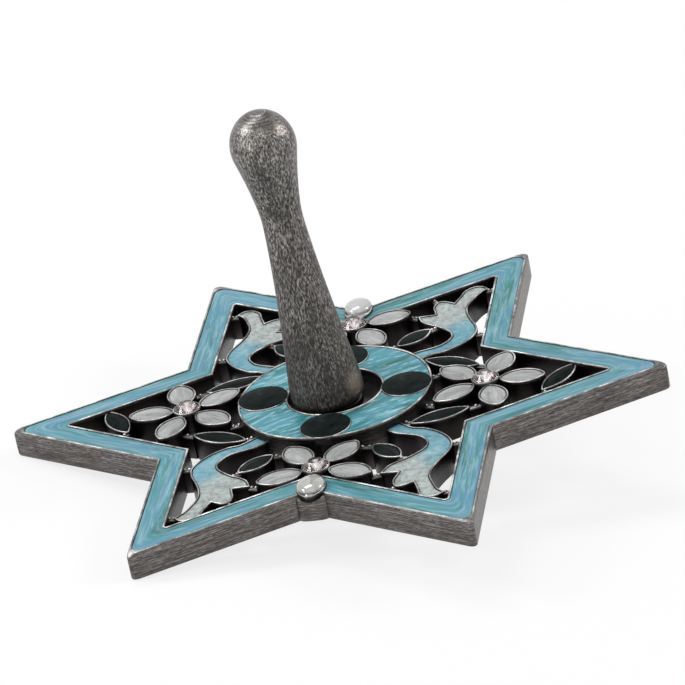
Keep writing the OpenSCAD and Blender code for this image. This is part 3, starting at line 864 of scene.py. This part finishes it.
# The petal across the rim swells from its almond into a round cabochon that overhangs its line
def buildPearlPetal(name, side):
    bm = newMesh()
    face, edge = levels["flower"], fill["edge"]
    centre, turn = petalPlace(side, 0)
    inset = petalInset(centre, turn)
    rings = [
        (inset(edge), face - fill["depth"], 0.0), (inset(edge), face - 0.16, 0.0),
        (inset(edge + 0.05), face - 0.1, 0.0),
    ]
    almond = almondOutline(flower["length"], flower["width"], pearl["almondInset"])
    for degrees in range(-30, 85, 6):
        a = math.radians(degrees)
        blend = min((degrees + 30) / 12, 1.0)
        wide, long = pearl["wide"] * math.cos(a), pearl["long"] * math.cos(a)
        ring = []
        for p in almond:
            out = p.normalized()
            ring.append(p.lerp(Vector((long * out.x + pearl["shift"], wide * out.y)), blend))
        height = pearl["lift"] + pearl["high"] * math.sin(a)
        rings.append((placedAt(ring, centre, turn), face + height, 0.0))
    made = loft(bm, rings, capFirst=True, capLast=True)
    flowAlong(bm, made, centre + polar(pearl["shift"], turn), turn)
    makePiece(name, bm, [pearlGrey], "grey_enamel", [name])


# A brilliant with foil behind the facets below its girdle; the foil alternates in pairs of sectors between
# bright foil and painted shade standing in for dark reflections
stone = {"r": 1.4, "table": 0.75, "crown": 0.65, "girdle": 0.2, "pavilion": 1.0, "culet": 0.3, "turn": 11}


def buildStone(name, side):
    bm = newMesh()
    centre = polar(flower["at"], 90 * side)
    rings = [
        (stone["table"], stone["crown"], 8), (stone["r"], 0.0, 16), (stone["r"], -stone["girdle"], 16),
        (stone["culet"], -stone["girdle"] - stone["pavilion"], 8),
    ]
    for r, up, count in rings:
        for k in range(count):
            p = centre + polar(r, 360 * k / count + stone["turn"])
            bm.verts.new((p.x, p.y, levels["cup"] + up))
    bmesh.ops.convex_hull(bm, input=bm.verts)
    bmesh.ops.dissolve_limit(bm, angle_limit=math.radians(1.5), verts=bm.verts, edges=bm.edges)
    bmesh.ops.recalc_face_normals(bm, faces=bm.faces)
    for f in bm.faces:
        out = f.calc_center_median().xy - centre
        turn = math.degrees(math.atan2(out.y, out.x)) - stone["turn"]
        # painted shade: the centre and half the sectors take the dark foil
        paintedShade = out.length < 0.5 or round(turn / 22.5) % 4 in (1, 2)
        f.material_index = 0 if f.normal.z > -0.1 else (2 if paintedShade else 1)
    makePiece(name, bm, stoneFinishes, "stone", [name], sharp=1)


for side, word in enumerate(sideWords):
    buildFlowerWalls("flower_walls_" + word, side)
    buildPetals("petals_" + word, side, side % 2)
    buildStone("stone_" + word, side)
buildPearlPetal("pearl_petal_north", 1)
buildPearlPetal("pearl_petal_south", 3)
print("flowers made")

# Leaves and scrolls are placed by degrees and by their share of the way from ring to opening
ringR, armR = 11.2, 31.6
quadrants = [(1, 1), (-1, 1), (-1, -1), (1, -1)]
leafFill = {"width": 2.6, "dome": 0.2, "insets": (0.33, 0.42, 0.54, 0.7, 0.88, 1.06, 1.16)}
ringLeaf = {"at": (27, 0.15), "turn": -21.5, "length": 7.4}
notchLeaf = {"at": (61.5, 0.22), "turn": 45, "length": 5.2}
tipLeaf = {"at": (0, 0.71), "turn": 60, "length": 7.0}

# A scroll's outline, smooth within each run and sharp where two runs meet
scrollRuns = [
    [(41.5, -0.02), (41.5, 0.1), (39, 0.17), (38.5, 0.26), (39.5, 0.35), (42, 0.435), (46, 0.49), (51, 0.535),
     (55, 0.59), (57.5, 0.655), (58.5, 0.735), (59, 0.815), (58.5, 0.875)],
    [(58.5, 0.875), (60.5, 0.89), (62.5, 0.865), (63.5, 0.805), (63, 0.74), (62.5, 0.66)],
    [(62.5, 0.66), (65, 0.665), (67, 0.655), (67.5, 0.62), (67, 0.575), (65.5, 0.535), (64, 0.5)],
    [(64, 0.5), (69, 0.455)],
    [(69, 0.455), (66, 0.4), (62.5, 0.38), (58.5, 0.375), (54.5, 0.365), (50.5, 0.35), (47.5, 0.315),
     (46, 0.26), (46, 0.2), (48, 0.14), (50.5, 0.085), (52, 0.03), (52.5, -0.02)],
]


def shared(place):
    degrees, share = place
    return polar(ringR + share * (armR - ringR), degrees)


scrollLine = [p for run in scrollRuns for p in smoothRun([shared(place) for place in run], 6)]
scrollInsets = {}


def scrollInset(signs):
    def insetOf(gap):
        if gap not in scrollInsets:
            scrollInsets[gap] = insetOutline(scrollLine, gap)
        return flipped(scrollInsets[gap], signs)

    return insetOf


def leafInset(leaf, signs):
    place = (shared(leaf["at"]), leaf["turn"], signs)
    return lambda gap: placedAt(almondOutline(leaf["length"], leafFill["width"], gap), *place)


def buildTracery():
    bm = newMesh()
    for signs in quadrants:
        buildWall(bm, scrollInset(signs), levels["leaf"])
    makePiece("scroll_walls", bm, *casting)
    bm = newMesh()
    for signs in quadrants:
        for leaf in (ringLeaf, notchLeaf):
            buildWall(bm, leafInset(leaf, signs), levels["leaf"])
    for signs in quadrants[:2]:
        buildWall(bm, leafInset(tipLeaf, signs), levels["leaf"])
    makePiece("leaf_walls", bm, *casting)


def buildScroll(name, signs):
    bm = newMesh()
    buildFill(bm, scrollInset(signs), levels["leaf"], 0.0, (0.33,))
    makePiece(name, bm, [scrollEnamel], "blended_enamel", [name])


def buildLeaves(name, leaf, which):
    bm = newMesh()
    for signs in which:
        made = buildFill(bm, leafInset(leaf, signs), levels["leaf"], leafFill["dome"], leafFill["insets"])
        flowAlong(bm, made, shared(leaf["at"]), leaf["turn"], signs)
    makePiece(name, bm, [darkEnamel], "dark_enamel", [name])


buildTracery()
for word, signs in zip(quarterWords, quadrants):
    buildScroll("scroll_" + word, signs)
buildLeaves("tip_leaf_east", tipLeaf, [(1, 1)])
buildLeaves("tip_leaf_west", tipLeaf, [(-1, 1)])
buildLeaves("ring_leaves_east", ringLeaf, [(1, 1), (1, -1)])
buildLeaves("ring_leaves_west", ringLeaf, [(-1, 1), (-1, -1)])
buildLeaves("notch_leaves_north", notchLeaf, [(1, 1), (-1, 1)])
buildLeaves("notch_leaves_south", notchLeaf, [(1, -1), (-1, -1)])
print("tracery made")

# Small ties between the ornaments, each with two beads on its back
tie = {
    "width": 0.85, "hold": 0.2, "drop": 0.2, "clear": 0.06, "bevel": 0.3,
    "bead": 0.24, "beadShares": (0.3, 0.72), "beadSink": 0.06, "bite": 0.1,
}


def leafEnd(leaf, sign):
    return shared(leaf["at"]) + polar(sign * (almondShare * leaf["length"] / 2 - tie["hold"]), leaf["turn"])


def petalTip(side, degrees):
    reach = flower["from"] + (1 + almondShare) * flower["length"] / 2 - tie["hold"]
    return polar(flower["at"], 90 * side) + polar(reach, degrees)


def toRim(p, degrees):
    return p + polar(armR / 2 + tie["hold"] - p.dot(polar(1, degrees)), degrees)


def toRing(p):
    return p.normalized() * (ringR - tie["hold"])


# The place, on the way from p to q, just inside the scroll's line
def atScroll(p, q, steps=200):
    for k in range(steps):
        here = p.lerp(q, k / (steps - 1))
        crossings = 0
        for a, b in zip(scrollLine, scrollLine[1:] + scrollLine[:1]):
            if (a.y > here.y) != (b.y > here.y) and here.x < a.x + (here.y - a.y) / (b.y - a.y) * (b.x - a.x):
                crossings += 1
        if crossings % 2:
            return here + (q - p).normalized() * tie["bite"]
    return q


def buildTie(bm, p, q):
    length, turn = (q - p).length, math.atan2(q.y - p.y, q.x - p.x)
    middle, top = (p + q) / 2, levels["leaf"] - tie["drop"]
    height = top - levels["bottom"] - tie["clear"]
    place = Matrix.Translation((middle.x, middle.y, top - height / 2)) @ Matrix.Rotation(turn, 4, "Z")
    size = Matrix.Diagonal((length, tie["width"], height, 1))
    bar = bmesh.ops.create_cube(bm, size=1, matrix=place @ size)["verts"]
    upper = [v for v in bar if abs(v.co.z - top) < 0.01]
    edges = list(dict.fromkeys(e for v in upper for e in v.link_edges if e.other_vert(v) in upper))
    bevelled = bmesh.ops.bevel(
        bm, geom=edges, offset=tie["bevel"], segments=3, profile=0.5, affect="EDGES", material=-1
    )
    layer = bm.verts.layers.float["patinaAndShade"]
    for v in {w for f in bevelled["faces"] for w in f.verts} | {w for w in bar if w.is_valid}:
        # patina and painted shade, darkest low on the tie
        v[layer] = 0.95 if v.co.z < top - 0.2 else 0.75
    for share in tie["beadShares"]:
        at = p.lerp(q, share)
        place = Matrix.Translation((at.x, at.y, top - tie["beadSink"]))
        bead = bmesh.ops.create_uvsphere(bm, u_segments=12, v_segments=8, radius=tie["bead"], matrix=place)
        for v in bead["verts"]:
            v[layer] = 0.15


def buildTies():
    bm = newMesh()
    ringEnd, notchEnd, tip = leafEnd(ringLeaf, -1), leafEnd(notchLeaf, 1), petalTip
    eastPetal = polar(flower["at"], 0) + polar(flower["from"] + flower["length"] / 2, 72)
    lines = [
        (ringEnd, toRing(ringEnd)),
        (leafEnd(ringLeaf, 1), eastPetal),
        (tip(0, 144), toRing(tip(0, 144))),
        (tip(0, 72), toRim(tip(0, 72), 60)),
        (tip(1, 18), atScroll(tip(1, 18), shared((66.5, 0.455)))),
        (tip(1, -54), toRing(tip(1, -54))),
        (tip(1, -54), leafEnd(notchLeaf, -1)),
        (notchEnd, atScroll(notchEnd, shared((57, 0.44)))),
    ]
    # from places inside the scroll straight out to the rim
    for inside, degrees in (((43, 0.41), 0), ((59.5, 0.85), 0), ((66, 0.62), 120)):
        start = shared(inside)
        end = toRim(start, degrees)
        lines.append((atScroll(end, start), end))
    for signs in quadrants:
        for line in lines:
            buildTie(bm, *flipped(line, signs))
    for signs in quadrants[:2]:
        low = leafEnd(tipLeaf, -1)
        buildTie(bm, *flipped((low, toRim(low, -60)), signs))
    makePiece("ties", bm, *casting)


# The boss under each pearl petal, in inset, height, and patina with painted shade
boss = {"front": 23.5, "back": 18.5, "width": 4.4, "corner": 1.3}
bossSection = [
    (0.45, 6.43, 0.6), (0.2, 6.47, 0.4), (0.06, 6.57, 0.2), (0.0, 6.75, 0.0), (0.0, 7.5, 0.0),
    (0.0, 8.9, 0.0), (0.05, 9.12, 0.2), (0.16, 9.28, 0.6), (0.32, 9.37, 0.8), (0.5, 9.4, 0.8),
]


def bossOutline(gap):
    half, front, back = boss["width"] / 2 - gap, boss["front"] - gap, boss["back"] + gap
    corner = max(boss["corner"] - gap, 0.06)
    face = []
    for a in (math.radians(22.5 * k) for k in range(5)):
        x = half - corner * (1 - math.cos(a))
        face.append(Vector((x, math.sqrt(front**2 - x**2) - corner + corner * math.sin(a))))
    middle = [Vector((x, math.sqrt(front**2 - x**2))) for x in (0.8, 0.0, -0.8)]
    mirrored = [Vector((-p.x, p.y)) for p in reversed(face)]
    return [Vector((half, back))] + face + middle + mirrored + [Vector((-half, back))]


def buildBosses():
    bm = newMesh()
    for sign in (1, -1):
        rings = [(flipped(bossOutline(gap), (1, sign)), z, patinaAndShade) for gap, z, patinaAndShade in bossSection]
        loft(bm, rings, capFirst=True, capLast=True)
    makePiece("bosses", bm, *casting)


buildTies()
buildBosses()
print("ties and bosses made")

# The turned handle, drawn upright and then leaned
handle = {
    "height": 36.24, "foot": 4.2, "footRound": 1.0, "neck": 2.33, "neckAt": 23.1, "flare": 1.4,
    "flareShare": 0.9, "head": 3.75, "crown": 4.15, "headDip": 15, "lean": 3.0, "off": 0.75, "seat": 9.6,
}


def handleSection():
    foot, rounding, neck, neckAt = handle["foot"], handle["footRound"], handle["neck"], handle["neckAt"]
    head, crown, dip = handle["head"], handle["crown"], math.radians(handle["headDip"])
    headAt = handle["height"] - crown
    joinR, joinZ = head * math.cos(dip), headAt - crown * math.sin(dip)
    # the neck meets the head at the head's own slope
    power = head / crown * math.tan(dip) * (joinZ - neckAt) / (joinR - neck)
    section = [(0, 0), (foot - rounding - 0.4, 0)]
    for a in (math.radians(9 * k) for k in range(11)):
        section.append((foot - rounding + rounding * math.sin(a), rounding - rounding * math.cos(a)))
    for t in (1 - k / 40 for k in range(40)):
        section.append((neck + (foot - neck) * t ** handle["flare"], neckAt * (1 - handle["flareShare"] * t)))
    for t in (k / 24 for k in range(24)):
        section.append((neck + (joinR - neck) * t**power, neckAt + (joinZ - neckAt) * t))
    for a in (math.radians(3 * k - handle["headDip"]) for k in range(35)):
        section.append((head * math.cos(a), headAt + crown * math.sin(a)))
    return section + [(0, handle["height"])]


def buildHandle():
    bm = newMesh()
    turnedRound(bm, handleSection(), steps=96)
    leaned = Matrix.Rotation(math.radians(-handle["lean"]), 4, "Y")
    stand = Matrix.Translation((-handle["off"], 0, handle["seat"])) @ leaned
    bmesh.ops.transform(bm, matrix=stand, verts=bm.verts)
    makePiece("handle", bm, [handlePewter], "handle_metal", ["handle"])


# The spin point: a rounded tip, a cone, a collar with a groove round it and the shank
spinPoint = {
    "nose": 0.8, "flank": 35.0, "collar": 3.2, "collarTop": 7.2,
    "grooveAt": 5.0, "grooveDepth": 0.1, "shank": 1.5, "shankTop": 9.5,
}


def buildSpinPoint():
    bm = newMesh()
    nose, collar, flank = spinPoint["nose"], spinPoint["collar"], math.radians(spinPoint["flank"])
    low, dent = spinPoint["grooveAt"], collar - spinPoint["grooveDepth"]
    coneTop = nose - nose * math.sin(flank) + (collar - nose * math.cos(flank)) / math.tan(flank)
    section = [(0, 0)]
    for a in (math.radians(degrees) for degrees in range(-85, -34, 5)):
        section.append((nose * math.cos(a), nose + nose * math.sin(a)))
    section += [
        (collar - 0.12, coneTop - 0.12), (collar - 0.02, coneTop), (collar, coneTop + 0.15), (collar, low),
        (dent, low + 0.05), (dent, low + 0.2), (collar, low + 0.25), (collar, spinPoint["collarTop"]),
        (spinPoint["shank"], spinPoint["collarTop"]), (spinPoint["shank"], spinPoint["shankTop"]),
        (0, spinPoint["shankTop"]),
    ]
    turnedRound(bm, section, steps=72)
    makePiece("spin_point", bm, [turnedSteel], "steel", ["spin_point"])


buildHandle()
buildSpinPoint()
print("handle and point made")

# The top rests on its point and two tips, so the floor leans under it; it shows nearly white
ground = {"up": (0.166, 0.096, 0.981), "radius": 3.0, "white": 0.8}


# 1 for what the camera, metal and glass look at, 0 for what only lights
def seenRays(tree):
    rays = addNode(tree, "LightPath", {})
    straight = maths(tree, "MAXIMUM", rays["Is Camera Ray"], rays["Is Transmission Ray"])
    return maths(tree, "MAXIMUM", straight, rays["Is Glossy Ray"])


def buildFloor():
    finish, tree, shader = newFinish("paleFloor")
    feed(tree, shader, {"Base Color": (0.9, 0.9, 0.9, 1), "Roughness": 0.9, "Specular IOR Level": 0.0})
    lit = maths(tree, "MULTIPLY", seenRays(tree), ground["white"])
    glow = addNode(tree, "Emission", {"Color": (1, 1, 1, 1), "Strength": 1.0})["Emission"]
    clear = addNode(tree, "BsdfTransparent", {})["BSDF"]
    backfacing = addNode(tree, "NewGeometry", {})["Backfacing"]
    front = addNode(tree, "MixShader", {0: lit, 1: shader.outputs["BSDF"], 2: glow})["Shader"]
    both = addNode(tree, "MixShader", {0: backfacing, 1: front, 2: clear})["Shader"]
    feed(tree, tree.nodes["Material Output"], {"Surface": both})
    bm = bmesh.new()
    turn = Vector((0, 0, 1)).rotation_difference(Vector(ground["up"]).normalized()).to_matrix().to_4x4()
    bmesh.ops.create_circle(bm, cap_ends=True, segments=64, radius=ground["radius"], matrix=turn)
    mesh = bpy.data.meshes.new("floor")
    bm.to_mesh(mesh)
    bm.free()
    mesh.materials.append(finish)
    floor = bpy.data.objects.new("floor", mesh)
    scene.collection.objects.link(floor)


# Softboxes as place and size in metres, power in watts and colour, all aimed at the star
softboxes = {
    "fillBox": ((0.12, -0.62, 0.85), (0.9, 0.6), 1.0, (1.0, 0.99, 0.98)),
    "topBox": ((-0.2, 0.33, 0.93), (0.5, 0.28), 2.8, (1.0, 1.0, 1.0)),
    "rightBox": ((0.88, 0.28, 0.4), (0.34, 0.26), 3.4, (1.0, 0.98, 0.95)),
    "leftBox": ((-0.67, -0.1, 0.76), (0.34, 0.24), 3.0, (0.98, 0.99, 1.0)),
    "frontBox": ((-0.76, -0.6, 0.35), (0.3, 0.3), 1.6, (1.0, 1.0, 1.0)),
}
aimedAt = Vector((0, 0, 0.012))


def addSoftbox(name, place, size, power, colour):
    data = bpy.data.lights.new(name, "AREA")
    data.shape = "RECTANGLE"
    data.size, data.size_y = size
    data.energy = power
    data.color = colour
    lamp = bpy.data.objects.new(name, data)
    lamp.location = place
    lamp.rotation_euler = (aimedAt - Vector(place)).to_track_quat("-Z", "Y").to_euler()
    scene.collection.objects.link(lamp)


# White where it is seen, dimmer where it only lights
studio = {"light": (0.97, 0.98, 1.0, 1), "strength": 0.44, "seen": (1, 1, 1, 1)}


def makeWorld():
    world = bpy.data.worlds.new("studio")
    scene.world = world
    world.use_nodes = True
    tree = world.node_tree
    sky = tree.nodes["Background"]
    feed(tree, sky, {"Color": studio["light"], "Strength": studio["strength"]})
    white = addNode(tree, "Background", {"Color": studio["seen"], "Strength": 1.0})["Background"]
    both = addNode(tree, "MixShader", {0: seenRays(tree), 1: sky.outputs["Background"], 2: white})["Shader"]
    feed(tree, tree.nodes["World Output"], {"Surface": both})


# The photograph's view, in metres, with the camera rolled about its own line of sight
view = {
    "place": (0.10845, -0.49689, 0.25913), "aim": (0.00169, 0.00148, 0.01569), "roll": -11.33, "lens": 261.9,
}


def addCamera():
    data = bpy.data.cameras.new("camera")
    data.sensor_width = 36
    data.lens = view["lens"]
    data.clip_start = 0.01
    camera = bpy.data.objects.new("camera", data)
    level = (Vector(view["aim"]) - Vector(view["place"])).to_track_quat("-Z", "Y").to_matrix()
    camera.location = view["place"]
    camera.rotation_euler = (level @ Matrix.Rotation(math.radians(view["roll"]), 3, "Z")).to_euler()
    scene.collection.objects.link(camera)
    scene.camera = camera


buildFloor()
for name, values in softboxes.items():
    addSoftbox(name, *values)
makeWorld()
addCamera()
scene.view_settings.view_transform = "Standard"
print("studio made")
